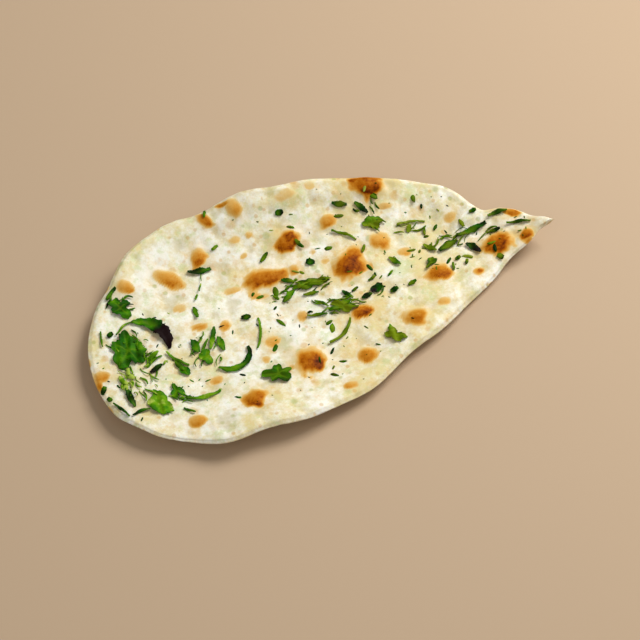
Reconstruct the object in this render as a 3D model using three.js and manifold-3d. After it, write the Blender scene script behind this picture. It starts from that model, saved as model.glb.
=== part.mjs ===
// A naan: one leaf-shaped flat bread, 200 mm from tip to round end, with chopped coriander on top.
// Millimetres, +Z up. The tip points along +X. The bread rests on the flat middle of its underside
// at z = 0, its far side (+Y) curls up and its tip, round end and near side lift a little.
import * as THREE from "three";
import { mergeVertices } from "three/addons/utils/BufferGeometryUtils.js";
import Module from "manifold-3d";

const wasm = await Module();
wasm.setup();

// Driving dimensions. s is the share of the length, from 0 at the tip to 1 at the round end.
const bread = {
  length: 200,
  widthScale: 130, // half-width = widthScale * s^taper * sqrt(1 - s)
  taper: 0.96,
  tipPinch: { by: 0.2, reach: 0.085 }, // narrows the last stretch before the tip
  nearSwell: { by: 0.22, from: 0.1, to: 0.5 }, // the near side is the fuller one
  bow: 19, // how far the round end swings towards -Y
  endSkew: { by: 4, reach: 0.12 }, // the round end is fuller on its near side
  endFade: 0.05, // bumps and ripples die out over this share of the length at both ends
  thickness: 3.9,
  rimPuff: { by: 0.9, at: 0.87, reach: 0.08 }, // the hand-pressed rim is a little thicker
  rimDrop: 1.1, // the top and the underside round off by this much at the edge
  rimInset: 0.985,
  gridAlong: 78,
  gridAcross: 52,
  flatness: 0.05, // faces closer than this to one plane are joined into larger ones
  foot: 0.08, // the rest is cut flat this far up
};

// Departures of the far side from the plain leaf outline: the shoulder, the notch and the flat flank.
const farSideBumps = [
  { by: 4.7, at: 0.22, reach: 0.07 },
  { by: -5.4, at: 0.135, reach: 0.035 },
  { by: -4.8, at: 0.63, reach: 0.13 },
];
// The hand-pulled edge is never quite smooth: how far it wanders, how often, and from which phase.
const edgeRipples = [
  { by: 0.75, times: 11, phase: 0.5 },
  { by: 0.55, times: 19, phase: 4.5 },
];

// How far each side lifts off the table: nothing up to `from`, `rise` at `to`.
const lifts = {
  far: { from: 0, to: 43, rise: 14 },
  tip: { from: 45, to: 100, rise: 7 },
  end: { from: 58, to: 100, rise: 4 },
  near: { from: 30, to: 72, rise: 5 },
};
// The rim waves up and down: rise in mm, and the lengths of the waves along X and Y.
const rimWaves = [
  { rise: 0.9, alongX: 13, alongY: 21, phase: 0.6 },
  { rise: 0.6, alongX: -8, alongY: 12, phase: 2.1 },
];
const rimWavePower = 5;
const restEdge = { from: 0.45, to: 0.8 }; // the waves fade in between these shares of the way out

// Slow unevenness of the dough's top, in the same terms.
const doughWaves = [
  { rise: 0.45, alongX: 15, alongY: 19, phase: 0.4 },
  { rise: 0.3, alongX: -9, alongY: 11, phase: 2.2 },
];

// The larger bubbles: centre, length and width of the brown patch, turn in degrees, and height.
const bubbles = [
  { x: 12.8, y: 1.6, long: 14.5, wide: 12.5, turn: 60, rise: 2 },
  { x: 28.6, y: 9.6, long: 9.5, wide: 8.5, turn: -15, rise: 1.1 },
  { x: 9.3, y: 22.4, long: 8, wide: 6.2, turn: -8, rise: 1 },
  { x: -8.2, y: 18, long: 11.5, wide: 8.6, turn: 50, rise: 1.4 },
  { x: -21.5, y: 3.8, long: 17.5, wide: 9, turn: 3, rise: 1.6 },
  { x: -46.4, y: 18.7, long: 9.5, wide: 6.8, turn: 72, rise: 1.3 },
  { x: -60.8, y: 12.4, long: 13, wide: 7, turn: -32, rise: 1.2 },
  { x: -78.6, y: 10.8, long: 7.5, wide: 5.4, turn: -25, rise: 0.8 },
  { x: -28, y: 34.8, long: 9, wide: 6.2, turn: -62, rise: 0.9 },
  { x: 29.5, y: 32.8, long: 14, wide: 8.6, turn: -4, rise: 1.7 },
  { x: 75.2, y: -4.4, long: 13, wide: 11, turn: 8, rise: 1.6 },
  { x: 48, y: -12, long: 12, wide: 9.4, turn: -15, rise: 1.4 },
  { x: 13, y: -22, long: 10, wide: 5.6, turn: 0, rise: 1.1 },
  { x: -14, y: -40, long: 14, wide: 12, turn: 20, rise: 1.9 },
  { x: 33, y: -31, long: 10, wide: 9, turn: 0, rise: 1.3 },
  { x: -39, y: -53, long: 10, wide: 7.5, turn: 30, rise: 1.1 },
  { x: 9, y: -43, long: 9, wide: 7, turn: 100, rise: 1.1 },
  { x: -64, y: -58, long: 7.5, wide: 6, turn: 0, rise: 0.8 },
];

const dome = { reach: 1.24, power: 1.4 }; // a bubble's dome is this much wider than its brown patch

// Coriander long enough to pick off: place, size and turn in degrees.
// A leaf has round lobes, the first one at the angle `first`, with notches of `depth` between them.
// A stalk or narrow leaf bends into an arc, and `pointed` tells how much narrower its ends are.
const leaves = [
  { x: -82.8, y: 1.2, long: 11, wide: 9.5, turn: 21, lobes: 4, depth: 0.45, first: 10 },
  { x: -83.7, y: -19, long: 20, wide: 13, turn: -64, lobes: 5, depth: 0.3, first: 0 },
  { x: -76.5, y: -47, long: 14, wide: 8, turn: -55, lobes: 4, depth: 0.2, first: 37 },
  { x: -4.8, y: -3.9, long: 14, wide: 6.2, turn: -6, lobes: 6, depth: 0.4, first: 20 },
  { x: -63.6, y: -33.2, long: 5.5, wide: 3.8, turn: -75, lobes: 3, depth: 0.3, first: 0 },
  { x: -69, y: -42, long: 8.5, wide: 5, turn: -73, lobes: 3, depth: 0.55, first: 60 },
  { x: 5.5, y: -18.3, long: 12, wide: 6, turn: -5, lobes: 5, depth: 0.45, first: 60 },
  { x: 21.3, y: -13, long: 5.8, wide: 4.6, turn: 45, lobes: 3, depth: 0.35, first: 0 },
  { x: 27.7, y: 17.8, long: 8.5, wide: 6.5, turn: 10, lobes: 4, depth: 0.3, first: 0 },
  { x: 46.3, y: -6.3, long: 6.5, wide: 4, turn: 35, lobes: 3, depth: 0.45, first: 60 },
  { x: -28, y: -44, long: 13, wide: 9, turn: 15, lobes: 5, depth: 0.45, first: 0 },
  { x: 22, y: -38, long: 10, wide: 7, turn: 120, lobes: 4, depth: 0.4, first: 45 },
  { x: -54, y: -28.3, long: 7, wide: 6, turn: -110, lobes: 3, depth: 0.35, first: 60 },
];
const stalks = [
  { x: -71.7, y: -12.3, long: 23, wide: 6.2, turn: -51, bend: -109, pointed: 0.8 },
  { x: -65.5, y: -27.1, long: 11, wide: 1.4, turn: -46, bend: 39, pointed: 0.3 },
  { x: -74.6, y: -23.6, long: 5.8, wide: 2.1, turn: 35, bend: 15, pointed: 0.4 },
  { x: -74.6, y: -29.8, long: 6, wide: 2, turn: 27, bend: 10, pointed: 0.3 },
  { x: -59, y: -46.6, long: 14.4, wide: 2, turn: 1, bend: 39, pointed: 0.5 },
  { x: -42, y: -33.5, long: 21, wide: 2.8, turn: 28, bend: 150, pointed: 0.55 },
  { x: -30.6, y: -22.3, long: 15.2, wide: 1.2, turn: -104, bend: -36, pointed: 0.3 },
  { x: -92, y: -46.6, long: 9, wide: 1.2, turn: -57, bend: -10, pointed: 0.3 },
  { x: -84.7, y: -49.3, long: 7.4, wide: 1.4, turn: 14, bend: -35, pointed: 0.4 },
  { x: -85.2, y: 8.2, long: 7, wide: 1.8, turn: -132, bend: 12, pointed: 0.5 },
  { x: 55.6, y: 0.2, long: 9.6, wide: 3.2, turn: 20, bend: -10, pointed: 0.45 },
  { x: 67, y: 4.5, long: 13, wide: 2.8, turn: 8, bend: 15, pointed: 0.5 },
  { x: 48, y: 1.3, long: 6.4, wide: 2.2, turn: -47, bend: 20, pointed: 0.4 },
  { x: 86, y: 1.1, long: 10, wide: 1.5, turn: -14, bend: -10, pointed: 0.5 },
  { x: 14.7, y: 15, long: 11, wide: 1.3, turn: -33, bend: -20, pointed: 0.3 },
  { x: -47.4, y: 12.9, long: 10, wide: 2.7, turn: -3, bend: 45, pointed: 0.5 },
  { x: 16, y: 27.7, long: 6.4, wide: 2.1, turn: -18, bend: 20, pointed: 0.5 },
  { x: 43.6, y: 15, long: 12, wide: 1.1, turn: -6, bend: -25, pointed: 0.3 },
  { x: -5.6, y: -19.6, long: 8.4, wide: 1.4, turn: -6, bend: 25, pointed: 0.4 },
  { x: -2.6, y: -14.8, long: 6.4, wide: 1.3, turn: -42, bend: -20, pointed: 0.4 },
  { x: 8.8, y: -13.2, long: 5.6, wide: 2, turn: -55, bend: 10, pointed: 0.5 },
  { x: -13.2, y: -0.2, long: 5.6, wide: 2, turn: -28, bend: -20, pointed: 0.5 },
  { x: -14.5, y: -7.6, long: 7, wide: 2.7, turn: 38, bend: -15, pointed: 0.5 },
  { x: -5.5, y: -8.9, long: 6.5, wide: 1.5, turn: -3, bend: 20, pointed: 0.4 },
  { x: 24.6, y: 24.6, long: 6.6, wide: 2.4, turn: -48, bend: -20, pointed: 0.5 },
  { x: 2, y: -30, long: 15, wide: 1.6, turn: 40, bend: 60, pointed: 0.4 },
  { x: -87.4, y: -41.5, long: 9.4, wide: 2.8, turn: -80, bend: 12, pointed: 0.6 },
  { x: -49.5, y: -20.3, long: 10.5, wide: 2.3, turn: -111, bend: -8, pointed: 0.6 },
  { x: -46.7, y: -23.7, long: 7, wide: 3, turn: -86, bend: 15, pointed: 0.5 },
  { x: -2, y: 6, long: 3.8, wide: 2.8, turn: -20, bend: 10, pointed: 0.4 },
  { x: 65.3, y: -3.8, long: 7.4, wide: 3, turn: -52, bend: -10, pointed: 0.6 },
  { x: 32, y: -1.7, long: 6.2, wide: 2.6, turn: -55, bend: 15, pointed: 0.6 },
  { x: 79, y: 8.2, long: 8.6, wide: 1.9, turn: 3, bend: -25, pointed: 0.5 },
  { x: 42.1, y: 12.5, long: 3.4, wide: 2.3, turn: 60, bend: 10, pointed: 0.4 },
  { x: -57, y: -22.6, long: 6.4, wide: 3.4, turn: -84, bend: 10, pointed: 0.4 },
  { x: -53.3, y: -6.4, long: 5.4, wide: 2, turn: -86, bend: 10, pointed: 0.4 },
  { x: -20, y: 12.9, long: 4.8, wide: 1.6, turn: 40, bend: 10, pointed: 0.4 },
  { x: -4.4, y: 15.2, long: 4.6, wide: 1.6, turn: -55, bend: 20, pointed: 0.4 },
  { x: 28, y: -15.5, long: 3.4, wide: 2.4, turn: 10, bend: 10, pointed: 0.4 },
  { x: 16.4, y: -15.7, long: 4.6, wide: 2.2, turn: 12, bend: 10, pointed: 0.5 },
  { x: -66, y: -52.5, long: 5.2, wide: 1.2, turn: -38, bend: 20, pointed: 0.3 },
  { x: -34, y: -13.4, long: 4, wide: 2.5, turn: -10, bend: 10, pointed: 0.4 },
  { x: -9.5, y: 29, long: 3.4, wide: 2, turn: 0, bend: 10, pointed: 0.4 },
];
const sprigs = [...leaves, ...stalks];
const leafUneven = { twice: 0.16, thrice: 0.1 }; // no two lobes of a leaf are the same length
const leafThickness = 0.6;
const leafGap = 0.45; // clear of the dough below
const leafWave = { rise: 0.5, along: 0.9, across: 1.3 };
const stalkStep = 2.6; // length of a stalk's straight pieces

// Where the fine bits of coriander are strewn, as soft-edged patches, and how many lie in each.
const strewnPatches = [
  { x: -76, y: -28, alongX: 19, alongY: 26, count: 26 },
  { x: -6, y: -10, alongX: 36, alongY: 15, count: 19 },
  { x: 58, y: 0, alongX: 28, alongY: 11, count: 19 },
  { x: 14, y: 22, alongX: 46, alongY: 12, count: 15 },
  { x: -12, y: -42, alongX: 44, alongY: 16, count: 15 },
];
const fleckSize = { shortest: 2, longest: 5.5, slimmest: 0.25, fullest: 0.55, half: 0.6 };
const fleckGap = 0.6; // clear of the leaves and stalks
const fleckSeed = 20261;

const turns = Math.PI * 2;
const squareBump = (value, at, reach) => Math.exp(-(((value - at) / reach) ** 2));

function smoothStep(from, to, value) {
  const t = Math.min(Math.max((value - from) / (to - from), 0), 1);
  return t * t * (3 - 2 * t);
}

function makeRandom(seed) {
  const modulus = 2147483647;
  let state = seed;
  return () => {
    state = (state * 16807) % modulus;
    return state / modulus;
  };
}

// The outline's point at an angle: 0 is the tip, half a turn the round end, +Y the far side.
function outlineAt(angle) {
  const s = Math.sin(angle / 2) ** 2;
  const side = Math.sin(angle) >= 0 ? 1 : -1;
  const pinch = 1 - bread.tipPinch.by * squareBump(s, 0, bread.tipPinch.reach);
  let half = bread.widthScale * s ** bread.taper * Math.sqrt(Math.max(1 - s, 0)) * pinch;
  let wander = 0;
  if (side > 0) {
    for (const bump of farSideBumps) wander += bump.by * squareBump(s, bump.at, bump.reach);
  } else {
    half *= 1 + bread.nearSwell.by * smoothStep(bread.nearSwell.from, bread.nearSwell.to, s);
  }
  for (const ripple of edgeRipples) wander += ripple.by * Math.sin(ripple.times * angle + ripple.phase);
  half += wander * smoothStep(0, bread.endFade, s) * smoothStep(0, bread.endFade, 1 - s);
  const fromEnd = (1 - s) / bread.endSkew.reach;
  const skew = bread.endSkew.by * Math.exp(-(fromEnd ** 2)) * Math.sqrt(Math.min(fromEnd, 1));
  return new THREE.Vector2(bread.length * (0.5 - s) + side * skew, side * half - bread.bow * s * s);
}

const middle = new THREE.Vector2(0, -bread.bow / 4);

// A point of the bread in plan: share 0 is the middle, share 1 the outline.
function planPoint(share, angle) {
  return outlineAt(angle).sub(middle).multiplyScalar(share).add(middle);
}

function liftAt(value, lift) {
  return lift.rise * Math.max((value - lift.from) / (lift.to - lift.from), 0) ** 2;
}

function waveAt(wave, x, y) {
  return wave.rise * Math.sin(x / wave.alongX + y / wave.alongY + wave.phase);
}

// Height of the underside above the table.
function undersideAt(x, y, share) {
  const sides = liftAt(y, lifts.far) + liftAt(x, lifts.tip) + liftAt(-x, lifts.end) + liftAt(-y, lifts.near);
  let waves = 0;
  for (const wave of rimWaves) waves += wave.rise + waveAt(wave, x, y);
  return sides + waves * share ** rimWavePower * smoothStep(restEdge.from, restEdge.to, share);
}

function bubbleRise(x, y) {
  let rise = 0;
  for (const bubble of bubbles) {
    const turn = THREE.MathUtils.degToRad(bubble.turn);
    const dx = x - bubble.x;
    const dy = y - bubble.y;
    const along = (dx * Math.cos(turn) + dy * Math.sin(turn)) / (bubble.long / 2);
    const across = (dy * Math.cos(turn) - dx * Math.sin(turn)) / (bubble.wide / 2);
    const away = Math.hypot(along, across) / dome.reach;
    if (away < 1) rise += bubble.rise * (1 - away * away) ** dome.power;
  }
  return rise;
}

function doughThickness(x, y, share) {
  let thick = bread.thickness + bread.rimPuff.by * squareBump(share, bread.rimPuff.at, bread.rimPuff.reach);
  for (const wave of doughWaves) thick += waveAt(wave, x, y);
  return thick + bubbleRise(x, y);
}

// Maps a square grid onto the bread, so that its cells stay about one size.
function gridToPlan(u, v) {
  const a = u * Math.sqrt(1 - (v * v) / 2);
  const b = v * Math.sqrt(1 - (u * u) / 2);
  return { share: Math.min(Math.hypot(a, b), 1), angle: Math.atan2(b, a) };
}

// The bare bread: a top and an underside on one grid, joined by a rim of two bevelled bands.
function bareBread() {
  const { gridAlong, gridAcross, rimDrop, rimInset } = bread;
  const points = [];
  const faces = [];
  const rim = [];
  const width = gridAlong + 1;
  const layerSize = width * (gridAcross + 1);
  for (const layer of ["top", "underside"]) {
    for (let j = 0; j <= gridAcross; j++) {
      for (let i = 0; i <= gridAlong; i++) {
        const { share, angle } = gridToPlan((2 * i) / gridAlong - 1, (2 * j) / gridAcross - 1);
        const onRim = i === 0 || j === 0 || i === gridAlong || j === gridAcross;
        const plan = planPoint(onRim ? rimInset : share, angle);
        const low = undersideAt(plan.x, plan.y, share);
        const drop = onRim ? rimDrop : 0;
        const high = low + doughThickness(plan.x, plan.y, share);
        points.push(plan.x, plan.y, layer === "top" ? high - drop : low + drop);
      }
    }
  }
  for (let j = 0; j < gridAcross; j++) {
    for (let i = 0; i < gridAlong; i++) {
      const a = j * width + i;
      const [b, c, d] = [a + 1, a + width + 1, a + width];
      faces.push(a, b, c, a, c, d);
      faces.push(layerSize + a, layerSize + c, layerSize + b, layerSize + a, layerSize + d, layerSize + c);
    }
  }
  for (let i = 0; i < gridAlong; i++) rim.push([i, 0]);
  for (let j = 0; j < gridAcross; j++) rim.push([gridAlong, j]);
  for (let i = gridAlong; i > 0; i--) rim.push([i, gridAcross]);
  for (let j = gridAcross; j > 0; j--) rim.push([0, j]);
  const outer = points.length / 3;
  for (const [i, j] of rim) {
    const { angle } = gridToPlan((2 * i) / gridAlong - 1, (2 * j) / gridAcross - 1);
    const edge = outlineAt(angle);
    const low = undersideAt(edge.x, edge.y, 1);
    points.push(edge.x, edge.y, low + doughThickness(edge.x, edge.y, 1) / 2);
  }
  rim.forEach(([i, j], k) => {
    const next = (k + 1) % rim.length;
    const here = j * width + i;
    const there = rim[next][1] * width + rim[next][0];
    faces.push(here, outer + k, outer + next, here, outer + next, there);
    faces.push(layerSize + here, outer + next, outer + k);
    faces.push(layerSize + here, layerSize + there, outer + next);
  });
  const geometry = new THREE.BufferGeometry();
  geometry.setAttribute("position", new THREE.Float32BufferAttribute(points, 3));
  geometry.setIndex(faces);
  return geometry;
}

function toSolid(geometry) {
  const bare = geometry.clone();
  bare.deleteAttribute("normal");
  bare.deleteAttribute("uv");
  const merged = mergeVertices(bare, 1e-4);
  return new wasm.Manifold(
    new wasm.Mesh({
      numProp: 3,
      vertProperties: new Float32Array(merged.attributes.position.array),
      triVerts: new Uint32Array(merged.index.array),
    }),
  );
}

function toGeometry(solid) {
  const mesh = solid.getMesh();
  const geometry = new THREE.BufferGeometry();
  geometry.setAttribute("position", new THREE.BufferAttribute(mesh.vertProperties, 3));
  geometry.setIndex(new THREE.BufferAttribute(mesh.triVerts, 1));
  geometry.computeVertexNormals();
  return geometry;
}

const dough = new THREE.Mesh(bareBread(), new THREE.MeshBasicMaterial({ side: THREE.DoubleSide }));
const plumb = new THREE.Raycaster();
const plumbHeight = 60;
const straightDown = new THREE.Vector3(0, 0, -1);

// Height of the dough's top at a point in plan, or null outside the bread.
function topAt(x, y) {
  plumb.set(new THREE.Vector3(x, y, plumbHeight), straightDown);
  const hits = plumb.intersectObject(dough);
  return hits.length ? hits[0].point.z : null;
}

// Closes two like layers of points, each a set of rings of one size round a centre, into a thin solid.
function thinSolid(rings, ringSize, centre) {
  const upper = [centre, ...rings.flat()];
  const points = [];
  for (const lift of [leafThickness, 0]) {
    for (const point of upper) points.push(point.x, point.y, point.z + lift);
  }
  const under = upper.length;
  const at = (ring, k) => 1 + ring * ringSize + (k % ringSize);
  const faces = [];
  for (let k = 0; k < ringSize; k++) {
    faces.push(0, at(0, k), at(0, k + 1));
    faces.push(under, under + at(0, k + 1), under + at(0, k));
    for (let ring = 1; ring < rings.length; ring++) {
      const [a, b, c, d] = [at(ring - 1, k), at(ring, k), at(ring, k + 1), at(ring - 1, k + 1)];
      faces.push(a, b, c, a, c, d);
      faces.push(under + a, under + c, under + b, under + a, under + d, under + c);
    }
    const [e, f] = [at(rings.length - 1, k), at(rings.length - 1, k + 1)];
    faces.push(e, under + e, under + f, e, under + f, f);
  }
  const geometry = new THREE.BufferGeometry();
  geometry.setAttribute("position", new THREE.Float32BufferAttribute(points, 3));
  geometry.setIndex(faces);
  geometry.computeVertexNormals();
  return geometry;
}

// A point of a sprig, given in its own plan, laid on the dough with a slight wave.
function laid(sprig, along, across) {
  const turn = THREE.MathUtils.degToRad(sprig.turn);
  const x = sprig.x + along * Math.cos(turn) - across * Math.sin(turn);
  const y = sprig.y + along * Math.sin(turn) + across * Math.cos(turn);
  const wave = leafWave.rise * (1 + Math.sin(along * leafWave.along + across * leafWave.across));
  return new THREE.Vector3(x, y, topAt(x, y) + leafGap + wave);
}

// A flat leaf: an ellipse whose edge is notched between its lobes.
function leafSolid(leaf) {
  const ringSize = leaf.lobes * 4;
  const rings = [];
  for (const share of [0.5, 1]) {
    const ring = [];
    for (let k = 0; k < ringSize; k++) {
      const fromLobe = (k / ringSize) * turns;
      const angle = fromLobe + THREE.MathUtils.degToRad(leaf.first);
      const notch = leaf.depth * (1 - Math.abs(Math.cos((leaf.lobes * fromLobe) / 2)));
      const twice = leafUneven.twice * Math.sin(2 * fromLobe + leaf.x);
      const thrice = leafUneven.thrice * Math.sin(3 * fromLobe + leaf.y);
      const reach = share * (1 + share * (twice + thrice - notch));
      const along = (reach * Math.cos(angle) * leaf.long) / 2;
      ring.push(laid(leaf, along, (reach * Math.sin(angle) * leaf.wide) / 2));
    }
    rings.push(ring);
  }
  return thinSolid(rings, ringSize, laid(leaf, 0, 0));
}

// A point on a stalk's middle line, from share -0.5 at its back end to 0.5 at its front end.
function onStalk(stalk, share) {
  const arc = THREE.MathUtils.degToRad(stalk.bend);
  const radius = stalk.long / arc;
  const heading = share * arc;
  const depth = radius - radius * Math.cos(arc / 2);
  const across = radius - radius * Math.cos(heading) - depth / 2;
  return { heading, along: radius * Math.sin(heading), across };
}

// A stalk or narrow leaf: a strip along an arc, widest in its middle.
function stalkSolid(stalk) {
  const steps = Math.max(Math.round(stalk.long / stalkStep), 3);
  const [left, right] = [[], []];
  for (let k = 0; k <= steps; k++) {
    const share = k / steps - 0.5;
    const { heading, along, across } = onStalk(stalk, share);
    const half = (stalk.wide / 2) * (1 - stalk.pointed * (1 - Math.cos(share * Math.PI)));
    left.push(laid(stalk, along - half * Math.sin(heading), across + half * Math.cos(heading)));
    right.push(laid(stalk, along + half * Math.sin(heading), across - half * Math.cos(heading)));
  }
  return stripSolid(left, right);
}

// Closes a strip between two rows of points into a thin solid.
function stripSolid(left, right) {
  const rows = left.map((point, k) => [point, right[k]]);
  const points = [];
  for (const lift of [leafThickness, 0]) {
    for (const point of rows.flat()) points.push(point.x, point.y, point.z + lift);
  }
  const under = rows.length * 2;
  const faces = [];
  for (let k = 0; k < rows.length - 1; k++) {
    const [a, b, c, d] = [2 * k, 2 * k + 1, 2 * k + 3, 2 * k + 2];
    faces.push(a, b, c, a, c, d);
    faces.push(under + a, under + c, under + b, under + a, under + d, under + c);
    faces.push(a, d, under + d, a, under + d, under + a);
    faces.push(b, under + b, under + c, b, under + c, c);
  }
  const last = under - 2;
  faces.push(0, under, under + 1, 0, under + 1, 1);
  faces.push(last, last + 1, under + last + 1, last, under + last + 1, under + last);
  const geometry = new THREE.BufferGeometry();
  geometry.setAttribute("position", new THREE.Float32BufferAttribute(points, 3));
  geometry.setIndex(faces);
  geometry.computeVertexNormals();
  return geometry;
}

// The ground that a sprig covers, as circles along its length.
function groundOf(sprig) {
  const turn = THREE.MathUtils.degToRad(sprig.turn);
  const steps = Math.ceil(sprig.long / 2);
  return Array.from({ length: steps + 1 }, (_, k) => {
    const share = k / steps - 0.5;
    const { along, across } = sprig.bend ? onStalk(sprig, share) : { along: share * sprig.long, across: 0 };
    const x = sprig.x + along * Math.cos(turn) - across * Math.sin(turn);
    const y = sprig.y + along * Math.sin(turn) + across * Math.cos(turn);
    return { x, y, reach: sprig.wide / 2 };
  });
}

const covered = sprigs.flatMap(groundOf);

// Is a point in plan clear of every sprig by a margin?
function clearOfSprigs(x, y, margin) {
  return covered.every((spot) => Math.hypot(x - spot.x, y - spot.y) > spot.reach + margin);
}

// Is a point in plan on the bread, and as far from its edge as a margin?
function wellInside(x, y, margin) {
  return [0, 1, 2, 3].every((quarter) => {
    const angle = (quarter * turns) / 4;
    return topAt(x + margin * Math.cos(angle), y + margin * Math.sin(angle)) !== null;
  });
}

// A fleck of coriander: a low lens half sunk in the dough.
function fleckSolid(fleck) {
  const lens = new THREE.SphereGeometry(1, 6, 4);
  lens.rotateX(Math.PI / 2);
  lens.scale(fleck.half, fleck.half * fleck.slim, fleckSize.half);
  lens.rotateZ(fleck.turn);
  lens.translate(fleck.x, fleck.y, topAt(fleck.x, fleck.y));
  return toSolid(lens);
}

// The bread with its flecks joined on, patch by patch.
function strewnBread() {
  const random = makeRandom(fleckSeed);
  let solid = toSolid(dough.geometry).simplify(bread.flatness).trimByPlane([0, 0, 1], bread.foot);
  for (const patch of strewnPatches) {
    for (let k = 0; k < patch.count; k++) {
      const away = Math.sqrt(random());
      const angle = random() * turns;
      const fleck = {
        x: patch.x + patch.alongX * away * Math.cos(angle),
        y: patch.y + patch.alongY * away * Math.sin(angle),
        half: THREE.MathUtils.lerp(fleckSize.shortest, fleckSize.longest, random()) / 2,
        slim: THREE.MathUtils.lerp(fleckSize.slimmest, fleckSize.fullest, random()),
        turn: (random() - 0.5) * Math.PI,
      };
      const { x, y } = fleck;
      const clear = wellInside(x, y, fleckSize.longest) && clearOfSprigs(x, y, fleck.half + fleckGap);
      if (clear) solid = solid.add(fleckSolid(fleck));
    }
  }
  return toGeometry(solid);
}

const doughMaterial = new THREE.MeshStandardMaterial({ color: "#e6dfc3", roughness: 0.62, metalness: 0 });
const leafMaterial = new THREE.MeshStandardMaterial({ color: "#3f7d1c", roughness: 0.45, metalness: 0 });

function addSprig(geometry, name) {
  const mesh = new THREE.Mesh(geometry, leafMaterial);
  mesh.name = name;
  naan.add(mesh);
}

const naan = new THREE.Group();
const breadMesh = new THREE.Mesh(strewnBread(), doughMaterial);
breadMesh.name = "naan";
naan.add(breadMesh);
leaves.forEach((leaf, k) => addSprig(leafSolid(leaf), `leaf_${k + 1}`));
stalks.forEach((stalk, k) => addSprig(stalkSolid(stalk), `stalk_${k + 1}`));

// The origin is the middle of the bread's box, at the table.
const box = new THREE.Box3().setFromObject(breadMesh);
const centre = box.getCenter(new THREE.Vector3());
naan.position.set(-centre.x, -centre.y, -box.min.z);

export default naan;
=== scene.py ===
import math

import bmesh
import bpy
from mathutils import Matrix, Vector, noise
from mathutils.bvhtree import BVHTree


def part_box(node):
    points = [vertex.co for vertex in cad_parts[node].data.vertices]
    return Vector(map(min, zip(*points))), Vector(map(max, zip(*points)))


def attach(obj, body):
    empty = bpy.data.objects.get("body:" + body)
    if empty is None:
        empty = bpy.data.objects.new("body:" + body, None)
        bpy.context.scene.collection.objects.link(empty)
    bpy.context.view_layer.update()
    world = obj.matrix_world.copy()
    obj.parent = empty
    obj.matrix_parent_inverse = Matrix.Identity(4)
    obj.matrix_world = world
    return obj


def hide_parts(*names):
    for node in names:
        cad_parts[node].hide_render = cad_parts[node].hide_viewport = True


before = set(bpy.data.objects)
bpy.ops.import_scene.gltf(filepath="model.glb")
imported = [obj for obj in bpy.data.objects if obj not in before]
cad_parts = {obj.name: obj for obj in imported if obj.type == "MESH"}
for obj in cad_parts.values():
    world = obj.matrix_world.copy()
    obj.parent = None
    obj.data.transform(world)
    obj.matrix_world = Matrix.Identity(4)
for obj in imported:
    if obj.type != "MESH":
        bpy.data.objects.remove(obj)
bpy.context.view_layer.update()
naanLow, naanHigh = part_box("naan")
print("frame loaded:", len(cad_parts), "nodes")

# The bread's form, in millimetres, in its own plan: tip towards +X, far side +Y.
# Shares of the length go from 0 at the tip to 1 at the round end.
naanForm = {
    "boxLength": 200.12,  # what the solid measures, to fit this form into the frame
    "length": 200,
    "widthScale": 130,
    "taper": 0.96,
    "tipPinch": (0.2, 0.085),  # how much, and how far from the tip
    "nearSwell": (0.22, 0.1, 0.5),  # how much, and between which shares of the length
    "bow": 19,  # how far the round end swings towards the near side
    "endSkew": (4, 0.12),  # how far the round end leans to one side, and over what share
    "tipHook": (86, 100, -3),  # the very tip bends towards the near side: from, to, how far
    "thickness": 3.9,
    "rimPuff": (0.9, 0.87, 0.08),  # height, share of the way out, width
    "rimWall": 0.42,  # what is left of the thickness where the side wall starts
    "rimRound": 0.05,  # share of the way out over which the edge rounds off
    "rimInset": 1.1,
    "insetPower": 8,  # the higher, the nearer to the rim the grid is drawn in
    "farSideBumps": [(4.7, 0.22, 0.07), (-5.4, 0.135, 0.035), (-4.8, 0.63, 0.13)],  # by, at, reach
    "edgeRipples": [(0.75, 11, 0.5), (0.55, 19, 4.5)],  # by, how many times round, phase
    "calmEnds": 0.05,  # share of the length at each end where the edge doesn't wander
    "farLift": (0, 43, 14),  # from, to, rise
    "tipLift": (45, 100, 7),
    "endLift": (58, 100, 4),
    "nearLift": (30, 72, 5),
    "rimWaves": [(0.9, 13, 21, 0.6), (0.6, -8, 12, 2.1)],  # rise, along X, along Y, phase
    "rimWavePower": 5,
    "restEnd": (0.45, 0.8),  # share of the way out over which the flat rest underneath ends
    "doughWaves": [(0.45, 15, 19, 0.4), (0.3, -9, 11, 2.2)],
    "dimples": [(0.42, 11, 3.1), (0.4, 5.2, 7.7), (0.2, 2.5, 12.4)],  # height, size, seed
    "undersideSlice": 40,  # how deep in the noise the underside's dimples are read
    "cellsAlong": 236,
    "cellsAcross": 148,
    "rimCrowding": 1.15,
    "rimSteps": 3,
}

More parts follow.
